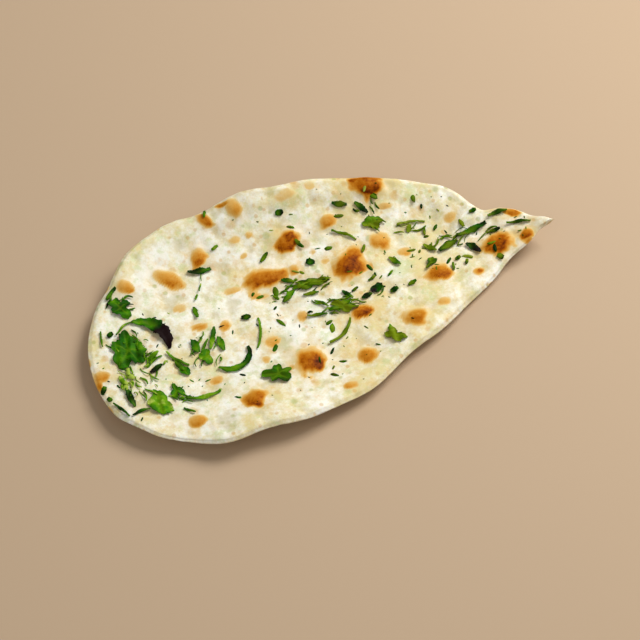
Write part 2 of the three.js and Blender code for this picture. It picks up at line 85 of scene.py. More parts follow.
# Bubbles: place, length, width and turn of the brown patch, the dome's height, browning.
bubbleKeys = ("x", "y", "long", "wide", "turn", "rise", "toast")
bubbleRows = [
    (12.8, 1.6, 14.5, 12.5, 60, 2, 0.84),
    (28.6, 9.6, 9.5, 8.5, -15, 1.1, 0.54),
    (9.3, 22.4, 7.4, 6.4, -8, 1, 0.52),
    (-8.2, 18, 11.5, 8.6, 50, 1.4, 0.84),
    (-21.5, 3.8, 17.5, 9, 3, 1.6, 0.76),
    (-46.4, 18.7, 9.5, 6.8, 72, 1.3, 0.6),
    (-60.8, 12.4, 13, 7, -32, 1.2, 0.5),
    (-78.6, 10.8, 7.5, 5.4, -25, 0.8, 0.42),
    (-28, 34.8, 9, 6.2, -62, 0.9, 0.36),
    (29.5, 32.8, 14, 8.6, -4, 1.7, 0.86),
    (75.2, -4.4, 13, 11, 8, 1.6, 0.82),
    (48, -12, 12, 9.4, -15, 1.4, 0.8),
    (13, -22, 10, 5.6, 0, 1.1, 0.8),
    (-14, -40, 14, 12, 20, 1.9, 0.85),
    (33, -31, 10, 9, 0, 1.3, 0.65),
    (-39, -53, 10, 7.5, 30, 1.1, 0.7),
    (9, -43, 9, 7, 100, 1.1, 0.6),
    (-64, -58, 7.5, 6, 0, 0.8, 0.45),
    (-40.8, 33.2, 8, 5, -50, 0.5, 0.62),
    (-5, 35.4, 8.5, 5, 5, 0.3, 0.16),
    (88, -5, 5.5, 6, 0, 0.4, 0.72),
    (85.3, 7.2, 6, 2.8, -35, 0.2, 0.5),
    (37.4, 2.8, 6, 5, 0, 0.3, 0.32),
    (60, 13, 5, 5, 0, 0.2, 0.26),
    (-9.5, 5, 4.5, 6, 0, 0.3, 0.44),
    (34.5, 24, 7, 3.2, -5, 0.2, 0.26),
    (-53.5, -13.5, 7, 3.6, -8, 0.3, 0.5),
    (-43.2, -15, 7, 4.6, 75, 0.3, 0.5),
    (-59, -2, 5.5, 5, 0, 0.2, 0.18),
    (-36, 1.4, 6.5, 4, 0, 0.2, 0.26),
    (5, 37.4, 4.5, 5, 0, 0.2, 0.16),
    (-96, -28.5, 7, 6, 10, 0.2, 0.5),
    (63.6, -15.6, 5, 4, 0, 0.3, 0.5),
    (-11.3, -18, 5.5, 4.6, 60, 0.2, 0.38),
    (-25.8, -27, 6.5, 5.4, 40, 0.3, 0.44),
    (-52, -40, 5, 4, 30, 0.3, 0.42),
    (-2, -57, 5.5, 4, 10, 0.3, 0.5),
    (46, -27, 5, 4.5, 0, 0.3, 0.4),
    (-31, -35, 4, 4, 0, 0.2, 0.3),
    (-30, 22.8, 4.5, 4, 0, 0.2, 0.24),
    (-24, 23.6, 4, 3.4, 0, 0.2, 0.32),
    (-28, 15.8, 5, 3, 35, 0.2, 0.24),
    (-28.5, -2.5, 4, 7, 40, 0.2, 0.34),
]
# Browner cores and streaks in them, and flat spots: the same without a dome.
spotKeys = ("x", "y", "long", "wide", "turn", "toast")
spotRows = [
    (-24.5, -4.4, 7, 2.4, 5, 0.3),
    (4, 5.6, 4, 3, 0, 0.26),
    (0.3, 11.2, 2.6, 4, 0, 0.18),
    (13.4, -0.6, 8, 6.5, 55, 1),
    (76, -5.6, 7, 5.5, 0, 0.97),
    (-21.5, 1.2, 13, 2.6, 3, 0.86),
    (16.2, 5.6, 9.5, 6.5, 55, 0.76),
    (-7, 19.6, 6.5, 4.4, 50, 0.93),
    (29.5, 35.4, 15.5, 7.5, -6, 0.8),
    (31.5, 34.5, 8, 5, -4, 0.88),
    (23.8, 36, 3.6, 3, -50, 0.92),
    (14.5, -22.6, 6, 3, 0, 0.9),
    (47, -13, 6, 4.5, -15, 0.88),
    (-13, -41, 7, 6, 20, 0.96),
    (-46.6, 17, 5.4, 4.4, 0, 0.8),
    (-61.5, 11, 10, 3.6, -28, 0.6),
    (-77.4, 9.4, 4.4, 3, -10, 0.57),
    (-32.6, 36.6, 5.5, 2, -8, 0.6),
    (28, 8, 6, 3.4, -10, 0.6),
    (9.6, 21.2, 5.5, 3, -5, 0.6),
    (15, 0.2, 11, 10, 20, 0.8),
    (-99, -31.4, 10, 5, 100, 0.52),
    (73.6, -5.6, 9.5, 8.5, 0, 0.82),
    (83.2, -2.6, 7, 6, 0, 0.13),
    (87.4, -8, 4, 4.5, 30, 0.56),
    (84.2, 7.5, 7.5, 4, -33, 0.64),
    (64.6, -15.4, 3.2, 2.8, 0, 0.74),
]
bubbles = [dict(zip(bubbleKeys, row)) for row in bubbleRows]
bubbles += [dict(zip(spotKeys, row), rise=0) for row in spotRows]
bubbleLook = {
    "domeReach": 1.24,  # the dome is this much wider than its brown patch
    "domePower": 1.4,
    "edgeWander": [(0.42, 5.2), (0.18, 1.9)],  # how far the patch's edge strays, and over what length
    "patchSoft": (1.22, 0.66),  # how far out a patch starts to show, and where it is full
    "farSofter": 0.6,  # how much further in a patch starts to fade on its far side
    "farthest": 24,  # no bubble shows this far from its middle
    "glowSoft": (2.3, 0.75),  # the same for the glow round it
    "nearShade": (0.55, 1.3),  # painted shade: how much browner a patch's near edge is drawn, on the side of its dome turned from the light, and at which browning no more
    # Whiter areas, or creamier where the last value is below 0: place, reach along and across. The
    # tip's is painted light.
    "flourAndLight": [(-25, -5, 38, 24, 1), (90, 1, 16, 12, 1), (-48, 20, 18, 12, 0.8), (46, 3, 26, 15, -1.2)],
}


def smoothStep(start, stop, value):
    t = min(max((value - start) / (stop - start), 0), 1)
    return t * t * (3 - 2 * t)


def bump(value, at, reach):
    return math.exp(-(((value - at) / reach) ** 2))


def liftAt(value, lift):
    start, stop, rise = lift
    return rise * max((value - start) / (stop - start), 0) ** 2


def waveAt(wave, x, y):
    rise, alongX, alongY, phase = wave
    return rise * math.sin(x / alongX + y / alongY + phase)


# The edge of the bread at an angle: 0 is the tip, half a turn the round end.
def outlineAt(angle):
    form = naanForm
    gone = math.sin(angle / 2) ** 2  # share of the length
    side = 1 if math.sin(angle) >= 0 else -1
    pinch = 1 - form["tipPinch"][0] * bump(gone, 0, form["tipPinch"][1])
    half = form["widthScale"] * gone ** form["taper"] * math.sqrt(max(1 - gone, 0)) * pinch
    wander = 0
    if side > 0:
        wander += sum(by * bump(gone, at, reach) for by, at, reach in form["farSideBumps"])
    else:
        swell, start, stop = form["nearSwell"]
        half *= 1 + swell * smoothStep(start, stop, gone)
    wander += sum(by * math.sin(times * angle + phase) for by, times, phase in form["edgeRipples"])
    calm = form["calmEnds"]
    half += wander * smoothStep(0, calm, gone) * smoothStep(0, calm, 1 - gone)
    skewBy, skewReach = form["endSkew"]
    fromEnd = (1 - gone) / skewReach
    skew = skewBy * math.exp(-(fromEnd ** 2)) * math.sqrt(min(fromEnd, 1))
    along = form["length"] * (0.5 - gone) + side * skew
    across = side * half - form["bow"] * gone * gone + liftAt(along, form["tipHook"])
    return Vector((along, across))


middle = Vector((0, -naanForm["bow"] / 4))  # where the bowed middle line is halfway along


# How far the underside is lifted off the floor, share being that of the way out to the edge.
def undersideAt(x, y, share):
    form = naanForm
    sides = liftAt(y, form["farLift"]) + liftAt(x, form["tipLift"])
    sides += liftAt(-x, form["endLift"]) + liftAt(-y, form["nearLift"])
    waves = sum(wave[0] + waveAt(wave, x, y) for wave in form["rimWaves"])
    return sides + waves * share ** form["rimWavePower"] * smoothStep(*form["restEnd"], share)


# How far a point is from a bubble's middle: 1 on the edge of its brown patch.
def awayFrom(bubble, x, y):
    turn = math.radians(bubble["turn"])
    dx = x - bubble["x"]
    dy = y - bubble["y"]
    along = (dx * math.cos(turn) + dy * math.sin(turn)) / (bubble["long"] / 2)
    across = (dy * math.cos(turn) - dx * math.sin(turn)) / (bubble["wide"] / 2)
    return math.hypot(along, across)


# What the bubbles do at a point: their height, browning with painted shade on each bubble's near side,
# and the faint warm glow round them.
def bubblesAt(x, y):
    look = bubbleLook
    rise, toast, glow = 0, 0, 0
    most, notAt = look["nearShade"]
    edge, full = look["patchSoft"]
    for bubble in bubbles:
        if max(abs(x - bubble["x"]), abs(y - bubble["y"])) > look["farthest"]:
            continue
        away = awayFrom(bubble, x, y)
        dome = away / look["domeReach"]
        if dome < 1:
            rise += bubble["rise"] * (1 - dome * dome) ** look["domePower"]
        strayed = away
        for by, size in look["edgeWander"]:
            strayed += by * away * noise.noise(Vector((x, y, bubble["x"])) / size)
        radius = (bubble["long"] + bubble["wide"]) / 4
        # Painted shade: a patch is drawn browner on its near side, turned from the light, the more so
        # the paler it is.
        nearness = min(max((bubble["y"] - y) / radius, -1), 1)
        nearShading = 1 + most * (notAt - bubble["toast"]) * nearness
        patch = smoothStep(edge, full + look["farSofter"] * min(nearness, 0), strayed)
        toast = max(toast, bubble["toast"] * nearShading * patch)
        glow = max(glow, bubble["toast"] * smoothStep(*look["glowSoft"], strayed))
    return rise, toast, glow


# How white the dough is: floury, and whiter at the tip as painted light.
def flourAndLightAt(x, y):
    return sum(
        by * bump(x, atX, reachX) * bump(y, atY, reachY)
        for atX, atY, reachX, reachY, by in bubbleLook["flourAndLight"]
    )


# How thick the dough is between its two faces, without its bubbles.
def doughThickness(x, y, share):
    form = naanForm
    puff, at, reach = form["rimPuff"]
    thick = form["thickness"] + puff * bump(share, at, reach)
    return thick + sum(waveAt(wave, x, y) for wave in form["doughWaves"])


def dimplesAt(x, y, z):
    return sum(
        height * noise.noise(Vector((x, y, z)) / size + Vector((seed, 0, seed)))
        for height, size, seed in naanForm["dimples"]
    )


# Maps a square grid onto a disc, as a share of the way out and an angle.
def gridToDisc(u, v):
    a = u * math.sqrt(1 - v * v / 2)
    b = v * math.sqrt(1 - u * u / 2)
    return min(math.hypot(a, b), 1), math.atan2(b, a)


# Crowds the grid's lines towards its border, where the bread rounds off.
def crowd(value):
    by = naanForm["rimCrowding"]
    return math.sin(value * by) / math.sin(by)


tiny = 0.0001  # what may be lost in rounding


# A point of the bread from its place on the grid and how far up the side it is, from 0 to 1.
def breadPoint(u, v, up):
    form = naanForm
    share, angle = gridToDisc(crowd(u), crowd(v))
    onRim = max(abs(u), abs(v)) > 1 - tiny
    share = 1 if onRim else share
    out = outlineAt(angle) - middle
    inset = form["rimInset"] * (1 - math.sin(math.pi * up)) if onRim else form["rimInset"]
    plan = middle + out * (share - share ** form["insetPower"] * inset / max(out.length, 1))
    x, y = plan
    low = undersideAt(x, y, share)
    rise, toast, glow = bubblesAt(x, y)
    dimples = dimplesAt(x, y, 0 if up > 0.5 else form["undersideSlice"])
    thick = doughThickness(x, y, share)
    fromRim = min((1 - share) / form["rimRound"], 1)
    rounding = form["rimWall"] + (1 - form["rimWall"]) * math.sqrt(1 - (1 - fromRim) ** 2)
    pastRest = smoothStep(*form["restEnd"], share)  # the flat rest has no dimples
    top = low + (thick + rise) * (0.5 + rounding / 2) + dimples
    under = low + thick * (0.5 - rounding / 2) + max(dimples, 0) * pastRest
    return Vector((x, y, under + (top - under) * up)), toast, glow, dimples


# Values for each vertex, which the materials read as attributes.
def addLayers(bm, *names):
    return {name: bm.verts.layers.float.new(name) for name in names}


def uprightEdges(edges):
    return [e for e in edges if abs(e.verts[0].co.z - e.verts[1].co.z) > 0.5]


# The bread's mesh, the scale from its plan to the frame, and where the plan's origin comes to lie.
def makeBread():
    form = naanForm
    bm = bmesh.new()
    bmesh.ops.create_grid(bm, x_segments=form["cellsAlong"], y_segments=form["cellsAcross"], size=1)
    bmesh.ops.solidify(bm, geom=bm.faces[:], thickness=1)
    upright = uprightEdges(bm.edges)
    bmesh.ops.subdivide_edges(bm, edges=upright, cuts=form["rimSteps"], use_grid_fill=True)
    floorZ = min(v.co.z for v in bm.verts)
    layers = addLayers(bm, "toast", "glow", "underside", "hollowShade", "flourAndLight")
    deepest = sum(height for height, size, seed in form["dimples"])
    for v in bm.verts:
        up = min(max(v.co.z - floorZ, 0), 1)
        v.co, toast, glow, dimples = breadPoint(v.co.x, v.co.y, up)
        v[layers["toast"]] = toast * up
        v[layers["glow"]] = glow * up
        v[layers["underside"]] = 1 - up
        # How deep a point sinks, which the dough's painted shade in its hollows reads.
        v[layers["hollowShade"]] = 0.5 - dimples / deepest
        # Flour, and painted light at the tip.
        v[layers["flourAndLight"]] = flourAndLightAt(v.co.x, v.co.y)
    lows = [min(v.co[k] for v in bm.verts) for k in range(3)]
    highs = [max(v.co[k] for v in bm.verts) for k in range(3)]
    mm = (naanHigh.x - naanLow.x) / form["boxLength"]
    shift = Vector(((lows[0] + highs[0]) / 2, (lows[1] + highs[1]) / 2, lows[2]))
    base = Vector(((naanLow.x + naanHigh.x) / 2, (naanLow.y + naanHigh.y) / 2, naanLow.z))
    for v in bm.verts:
        v.co = base + (v.co - shift) * mm
    bmesh.ops.recalc_face_normals(bm, faces=bm.faces)
    return bm, mm, base - shift * mm


def finishPiece(name, bm, material, slot, *nodes):
    mesh = bpy.data.meshes.new(name)
    bm.to_mesh(mesh)
    bm.free()
    mesh.shade_smooth()
    mesh.materials.append(material)
    piece = bpy.data.objects.new(name, mesh)
    bpy.context.scene.collection.objects.link(piece)
    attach(piece, "root")
    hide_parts(*nodes)


# Colours are written as they look on a screen, from 0 to 255, and made linear for the shader.
def colour(red, green, blue):
    return [
        (c / 12.92 if c <= 0.04045 else ((c + 0.055) / 1.055) ** 2.4)
        for c in (red / 255, green / 255, blue / 255)
    ] + [1]


def newMaterial(name):
    material = bpy.data.materials.new(name)
    material.use_nodes = True
    return material, material.node_tree


# An input is a value, or a socket to link it to.
def addNode(tree, kind, inputs=None, **settings):
    node = tree.nodes.new(kind)
    for key, value in settings.items():
        setattr(node, key, value)
    for key, value in (inputs or {}).items():
        if isinstance(value, bpy.types.NodeSocket):
            tree.links.new(value, node.inputs[key])
        else:
            node.inputs[key].default_value = value
    return node


def noiseAt(tree, place, scale, detail, roughness):
    settings = {"Vector": place, "Scale": scale, "Detail": detail, "Roughness": roughness}
    return addNode(tree, "ShaderNodeTexNoise", settings).outputs["Fac"]


def calculate(tree, operation, first, second):
    return addNode(tree, "ShaderNodeMath", {0: first, 1: second}, operation=operation).outputs[0]


def scaled(tree, value, by):
    return calculate(tree, "MULTIPLY", value, by)


def attributeOf(tree, name):
    return addNode(tree, "ShaderNodeAttribute", attribute_name=name).outputs["Fac"]


def mapRange(tree, value, start, stop, low=0, high=1, smooth=True):
    inputs = {"Value": value, "From Min": start, "From Max": stop, "To Min": low, "To Max": high}
    kind = "SMOOTHSTEP" if smooth else "LINEAR"
    return addNode(tree, "ShaderNodeMapRange", inputs, interpolation_type=kind).outputs["Result"]


# Sockets 0, 6 and 7 are the amount and the two colours, and 2 is the mixed colour.
def mixColour(tree, amount, first, second):
    inputs = {0: amount, 6: first, 7: second}
    return addNode(tree, "ShaderNodeMix", inputs, data_type="RGBA").outputs[2]


# Colours by value. A ramp ends at 1, so the stops and the value are divided by the last stop.
def colourRamp(tree, value, stops):
    last = stops[-1][0]
    node = addNode(tree, "ShaderNodeValToRGB", {"Fac": scaled(tree, value, 1 / last)})
    ramp = node.color_ramp
    while len(ramp.elements) < len(stops):
        ramp.elements.new(0.5)
    for element, (place, shade) in zip(ramp.elements, stops):
        element.position = place / last
        element.color = shade
    return node.outputs["Color"]


# Fine relief in a material, finer than the mesh.
def addRelief(tree, shader, height, relief):
    inputs = {"Height": height, "Strength": relief["strength"], "Distance": relief["depth"]}
    raised = addNode(tree, "ShaderNodeBump", inputs)
    tree.links.new(raised.outputs["Normal"], shader.inputs["Normal"])


doughLook = {
    "white": colour(246, 244, 231),
    "cream": colour(224, 209, 152),
    "warm": colour(227, 194, 130),
    "greenish": colour(200, 210, 150),
    # Painted shade: the colour the dough is darkened to in its hollows and dents.
    "hollowShade": colour(190, 174, 120),
    "freckle": colour(208, 164, 88),
    "stain": colour(160, 168, 84),
    "toastStops": [
        (0.0, colour(230, 212, 162)),
        (0.14, colour(225, 194, 128)),
        (0.3, colour(218, 172, 94)),
        (0.45, colour(211, 152, 62)),
        (0.6, colour(198, 128, 32)),
        (0.8, colour(170, 92, 4)),
        (0.95, colour(132, 60, 1)),
        (1.1, colour(84, 32, 1)),
    ],
    "toastEdge": (0, 0.2),  # from which browning to which a toasted spot shows
    "roughness": (0.65, 0.5),  # of bare dough, and of the brownest spots
    "shine": 0.04,
    # Noises: scale, detail, roughness.
    "mottle": (75, 6, 0.78),
    "tint": (130, 5, 0.7),
    "lumps": (210, 4, 0.6),
    "grain": (900, 3, 0.6),
    # From one level of a noise to another: nothing to full, or the two values given.
    "creamy": (0.36, 0.64),
    "greenTint": (0.48, 0.34, 0, 0.55),
    "warmTint": (0.52, 0.68, 0, 0.5),
    # Painted shade in the hollows, and where the lumps of the bump relief sink.
    "lumpShade": (0.3, 0.7, 0.16, -0.16),
    "hollowShadeLevels": (0.5, 0.9, 0, 0.5),
    "broken": (0.3, 0.7, 0.76, 1.18),
    "speckled": (0.3, 0.7, 0.9, 1.08),
    "flourAndLightWhiten": 0.07,
    "glowWarms": 0.55,
    # Scattered spots: how close, what share of the cells, size.
    "freckles": [(270, 0.3, 0.32), (140, 0.35, 0.28), (75, 0.4, 0.22)],
    "stains": [(240, 0.22, 0.32), (120, 0.25, 0.26)],  # faint green, left by the herbs
    "faint": 0.5,  # how much of their colour freckles and stains give
    "spotSoft": (0.45, 0.6),  # how far out a spot stays full, and the share that is as dark as can be
    "char": (130, 0.5, 0.42),  # the underside's brown spots
    "charToast": 0.8,
    "relief": {"lumps": 0.6, "grain": 0.25, "strength": 0.7, "depth": 0.0006},
    "subsurface": {"weight": 0.08, "radius": (1.0, 0.6, 0.3), "scale": 0.001},
}


# Random spots, one for each kept cell of a pattern, with a size as a share of the cell's.
def scatteredSpots(tree, place, scale, kept, size):
    core, strong = doughLook["spotSoft"]
    cells = addNode(tree, "ShaderNodeTexVoronoi", {"Vector": place, "Scale": scale})
    inside = mapRange(tree, cells.outputs["Distance"], size, size * core)
    shade = addNode(tree, "ShaderNodeSeparateColor", {"Color": cells.outputs["Color"]})
    chosen = mapRange(tree, shade.outputs[0], 1 - kept, 1 - kept * strong)
    return calculate(tree, "MULTIPLY", inside, chosen)


def makeDough():
    look = doughLook
    material, tree = newMaterial("bakedDough")
    shader = tree.nodes["Principled BSDF"]
    place = addNode(tree, "ShaderNodeTexCoord").outputs["Object"]
    clouds = noiseAt(tree, place, *look["mottle"])
    # Flour, and painted light at the tip, whiten the dough.
    whitened = scaled(tree, attributeOf(tree, "flourAndLight"), look["flourAndLightWhiten"])
    mottle = calculate(tree, "SUBTRACT", clouds, whitened)
    tint = noiseAt(tree, place, *look["tint"])
    lumps = noiseAt(tree, place, *look["lumps"])
    grain = noiseAt(tree, place, *look["grain"])
    # Bare dough: floury white and cream, whiter at the tip as painted light, tinted warm or greenish,
    # darker in the hollows as painted shade, freckled.
    dough = mixColour(tree, mapRange(tree, mottle, *look["creamy"]), look["white"], look["cream"])
    dough = mixColour(tree, mapRange(tree, tint, *look["greenTint"]), dough, look["greenish"])
    glow = scaled(tree, attributeOf(tree, "glow"), look["glowWarms"])
    warmth = calculate(tree, "ADD", mapRange(tree, tint, *look["warmTint"]), glow)
    dough = mixColour(tree, warmth, dough, look["warm"])
    # Painted shade: darker where the mesh's dimples and the relief's lumps sink.
    lumpShading = mapRange(tree, lumps, *look["lumpShade"], False)
    shadedDepth = calculate(tree, "ADD", attributeOf(tree, "hollowShade"), lumpShading)
    dough = mixColour(tree, mapRange(tree, shadedDepth, *look["hollowShadeLevels"]), dough, look["hollowShade"])
    for spots, shade in ((look["freckles"], look["freckle"]), (look["stains"], look["stain"])):
        for spot in spots:
            faint = scaled(tree, scatteredSpots(tree, place, *spot), look["faint"])
            dough = mixColour(tree, faint, dough, shade)
    # Toasted spots, broken up by lumps and grain, and smaller ones all over the underside.
    charred = scatteredSpots(tree, place, *look["char"])
    charred = calculate(tree, "MULTIPLY", charred, attributeOf(tree, "underside"))
    under = scaled(tree, charred, look["charToast"])
    level = calculate(tree, "MAXIMUM", attributeOf(tree, "toast"), under)
    broken = mapRange(tree, lumps, *look["broken"], False)
    speckled = mapRange(tree, grain, *look["speckled"], False)
    uneven = calculate(tree, "MULTIPLY", level, calculate(tree, "MULTIPLY", broken, speckled))
    brown = colourRamp(tree, uneven, look["toastStops"])
    edge = mapRange(tree, uneven, *look["toastEdge"])
    tree.links.new(mixColour(tree, edge, dough, brown), shader.inputs["Base Color"])
    roughness = mapRange(tree, level, 0, 1, *look["roughness"], False)
    tree.links.new(roughness, shader.inputs["Roughness"])
    shader.inputs["Specular IOR Level"].default_value = look["shine"]
    relief = look["relief"]
    lumpRelief = scaled(tree, lumps, relief["lumps"])
    height = calculate(tree, "ADD", lumpRelief, scaled(tree, grain, relief["grain"]))
    addRelief(tree, shader, height, relief)
    subsurface = look["subsurface"]
    shader.inputs["Subsurface Weight"].default_value = subsurface["weight"]
    shader.inputs["Subsurface Radius"].default_value = subsurface["radius"]
    shader.inputs["Subsurface Scale"].default_value = subsurface["scale"]
    return material


breadMesh, mm, planOrigin = makeBread()
breadTree = BVHTree.FromBMesh(breadMesh)
finishPiece("naanBread", breadMesh, makeDough(), "dough", "naan")
print("bread made")


# Height of the bread's top under a point, in metres, or None beside the bread.
def topAt(x, y):
    above = Vector((x, y, 2 * naanHigh.z))
    hit = breadTree.ray_cast(above, Vector((0, 0, -1)))[0]
    return hit.z if hit else None


# Where a point of a leaf or stalk lies in the bread's plan.
def placed(sprig, along, across):
    turn = math.radians(sprig["turn"])
    x = sprig["x"] + along * math.cos(turn) - across * math.sin(turn)
    y = sprig["y"] + along * math.sin(turn) + across * math.cos(turn)
    return x, y


# A point of the bread's plan in the frame, in metres.
def inFrame(x, y):
    return planOrigin + Vector((x, y, 0)) * mm


# Coriander long enough to pick off: place, size and turn in the bread's plan. A leaf has round
# lobes, the first one at an angle from its length, with notches of some depth between them. A stalk
# or narrow leaf bends into an arc of so many degrees, with pointed ends. Shade goes from 0, bright,
# to 1, dark brown, and fade darkens a stalk's front end.
leafKeys = ("x", "y", "long", "wide", "turn", "lobes", "depth", "first", "shade")
leafRows = [
    (-82.8, 1.2, 11, 9.5, 21, 4, 0.45, 10, 0.45),
    (-83.7, -19, 20, 13, -64, 5, 0.3, 0, 0.42),
    (-76.5, -47, 14, 8, -55, 4, 0.2, 37, 0.11),
    (-4.8, -3.9, 14, 6.2, -6, 6, 0.4, 20, 0.38),
    (-63.6, -33.2, 5.5, 3.8, -75, 3, 0.3, 0, 0.25),
    (-69, -42, 8.5, 5, -73, 3, 0.55, 60, 0.38),
    (5.5, -18.3, 12, 6, -5, 5, 0.45, 60, 0.35),
    (21.3, -13, 5.8, 4.6, 45, 3, 0.35, 0, 0.72),
    (27.7, 17.8, 8.5, 6.5, 10, 4, 0.3, 0, 0.22),
    (46.3, -6.3, 6.5, 4, 35, 3, 0.45, 60, 0.45),
    (-28, -44, 13, 9, 15, 5, 0.45, 0, 0.38),
    (22, -38, 10, 7, 120, 4, 0.4, 45, 0.2),
    (-54, -28.3, 7, 6, -110, 3, 0.35, 60, 0.2),
]
stalkKeys = ("x", "y", "long", "wide", "turn", "bend", "pointed", "shade", "fade")
stalkRows = [
    (-71.7, -12.3, 23, 6.2, -51, -109, 0.8, 0.46, 0.85),
    (-65.5, -27.1, 11, 1.4, -46, 39, 0.3, 0.15, 0.2),
    (-74.6, -23.6, 5.8, 2.1, 35, 15, 0.4, 0.3, 0),
    (-74.6, -29.8, 6, 2, 27, 10, 0.3, 0.8, 0),
    (-59, -46.6, 14.4, 2, 1, 39, 0.5, 0.4, -0.2),
    (-42, -33.5, 21, 2.8, 28, 150, 0.55, 0.5, 0.1),
    (-30.6, -22.3, 15.2, 1.2, -104, -36, 0.3, 0.24, 0),
    (-92, -46.6, 9, 1.2, -57, -10, 0.3, 0.6, 0),
    (-84.7, -49.3, 7.4, 1.4, 14, -35, 0.4, 0.6, 0),
    (-85.2, 8.2, 7, 1.8, -132, 12, 0.5, 0.55, 0),
    (55.6, 0.2, 9.6, 3.2, 20, -10, 0.45, 0.56, 0),
    (67, 4.5, 13, 2.8, 8, 15, 0.5, 0.6, 0),
    (48, 1.3, 6.4, 2.2, -47, 20, 0.4, 0.35, 0),
    (86, 1.1, 10, 1.5, -14, -10, 0.5, 0.5, 0),
    (14.7, 15, 11, 1.3, -33, -20, 0.3, 0.34, 0),
    (-47.4, 12.9, 10, 2.7, -3, 45, 0.5, 0.62, 0),
    (16, 27.7, 6.4, 2.1, -18, 20, 0.5, 0.6, 0),
    (43.6, 15, 12, 1.1, -6, -25, 0.3, 0.08, 0),
    (-5.6, -19.6, 8.4, 1.4, -6, 25, 0.4, 0.45, 0),
    (-2.6, -14.8, 6.4, 1.3, -42, -20, 0.4, 0.45, 0),
    (8.8, -13.2, 5.6, 2, -55, 10, 0.5, 0.6, 0),
    (-13.2, -0.2, 5.6, 2, -28, -20, 0.5, 0.5, 0),
    (-14.5, -7.6, 7, 2.7, 38, -15, 0.5, 0.4, 0),
    (-5.5, -8.9, 6.5, 1.5, -3, 20, 0.4, 0.4, 0),
    (24.6, 24.6, 6.6, 2.4, -48, -20, 0.5, 0.7, 0),
    (2, -30, 15, 1.6, 40, 60, 0.4, 0.3, 0),
    (-87.4, -41.5, 9.4, 2.8, -80, 12, 0.6, 0.55, 0),
    (-49.5, -20.3, 10.5, 2.3, -111, -8, 0.6, 0.45, -0.2),
    (-46.7, -23.7, 7, 3, -86, 15, 0.5, 0.35, 0),
    (-2, 6, 3.8, 2.8, -20, 10, 0.4, 0.75, 0),
    (65.3, -3.8, 7.4, 3, -52, -10, 0.6, 0.78, 0),
    (32, -1.7, 6.2, 2.6, -55, 15, 0.6, 0.35, 0.1),
    (79, 8.2, 8.6, 1.9, 3, -25, 0.5, 0.5, 0),
    (42.1, 12.5, 3.4, 2.3, 60, 10, 0.4, 0.1, 0),
    (-57, -22.6, 6.4, 3.4, -84, 10, 0.4, 0.5, 0),
    (-53.3, -6.4, 5.4, 2, -86, 10, 0.4, 0.4, 0),
    (-20, 12.9, 4.8, 1.6, 40, 10, 0.4, 0.5, 0),
    (-4.4, 15.2, 4.6, 1.6, -55, 20, 0.4, 0.52, 0),
    (28, -15.5, 3.4, 2.4, 10, 10, 0.4, 0.65, 0),
    (16.4, -15.7, 4.6, 2.2, 12, 10, 0.5, 0.7, 0),
    (-66, -52.5, 5.2, 1.2, -38, 20, 0.3, 0.5, 0),
    (-34, -13.4, 4, 2.5, -10, 10, 0.4, 0.65, 0),
    (-9.5, 29, 3.4, 2, 0, 10, 0.4, 0.7, 0),
]
leaves = [dict(zip(leafKeys, row)) for row in leafRows]
stalks = [dict(zip(stalkKeys, row)) for row in stalkRows]
leafForm = {
    "cells": 34,
    "thickness": 0.28,
    "uneven": (0.16, 0.1),  # no two lobes of a leaf are the same length
    "ragged": [(0.16, 1.8), (0.16, 5.5)],  # how much, and how many times round
    "seedStep": 1.7,
    "fold": 0.5,  # each lobe is folded up along its vein by this much
    "veinFades": (0.16, 0.03),  # away from the vein
    "veinEnds": (1.05, 0.5),  # towards the leaf's edge
    "shading": (0.14, 0.12),  # from side to side, and between the veins
}
stalkForm = {
    "sides": 10,
    "steps": 36,
    "thickness": 0.8,
    "thickest": 0.5,  # as a share of the width
    "ragged": [(0.3, 0.5), (0.25, 1.4)],  # how much, and how often along it
    "sideSeed": 9,  # the two edges are ragged in different ways
    "leafWidth": (1.6, 2.6),  # a narrow leaf is wider than this, and a stalk narrower
    "leafThinner": 0.6,
    "leafFold": 0.3,  # a narrow leaf's sides stand up by this share of its half-width
    "fadeAt": (-0.08, 0.16),  # shares of the length between which it darkens
    "veinFades": (0.3, 0.05),
    "stalkVein": 0.5,
    "shading": (0.15, 5),  # how much, and how fast along it
}
layForm = {
    "clear": 0.15,  # above the dough
    "wave": 0.35,
    "waveTurns": (0.9, 1.3),  # along and across, in radians for each millimetre
}
herbLook = {
    "stops": [
        (0.0, colour(176, 196, 84)),
        (0.13, colour(108, 158, 10)),
        (0.3, colour(58, 124, 2)),
        (0.5, colour(26, 90, 0)),
        (0.75, colour(12, 48, 1)),
        (1.0, colour(26, 12, 12)),
    ],
    "vein": colour(120, 150, 22),
    "olive": colour(112, 112, 6),
    "dry": (0.1, 0.6, -45, 5),  # at the round end, how much more at the tip, from and to which x
    "roughness": 0.5,
    "shine": 0.05,
    # Noises: scale, detail, roughness.
    "patches": (260, 3, 0.55),
    "dryness": (150, 3, 0.55),
    "grain": (1500, 3, 0.55),
    # From one level of a noise or shade to another: nothing to full, or the two values given.
    "blotches": (0.3, 0.7, -0.18, 0.22),
    "dryPatches": (0.3, 0.52),
    "dryNotDark": (0.7, 0.3),
    "veinNotDark": (0.8, 0.3, 0, 0.4),
    "relief": {"strength": 0.5, "depth": 0.0003},
}


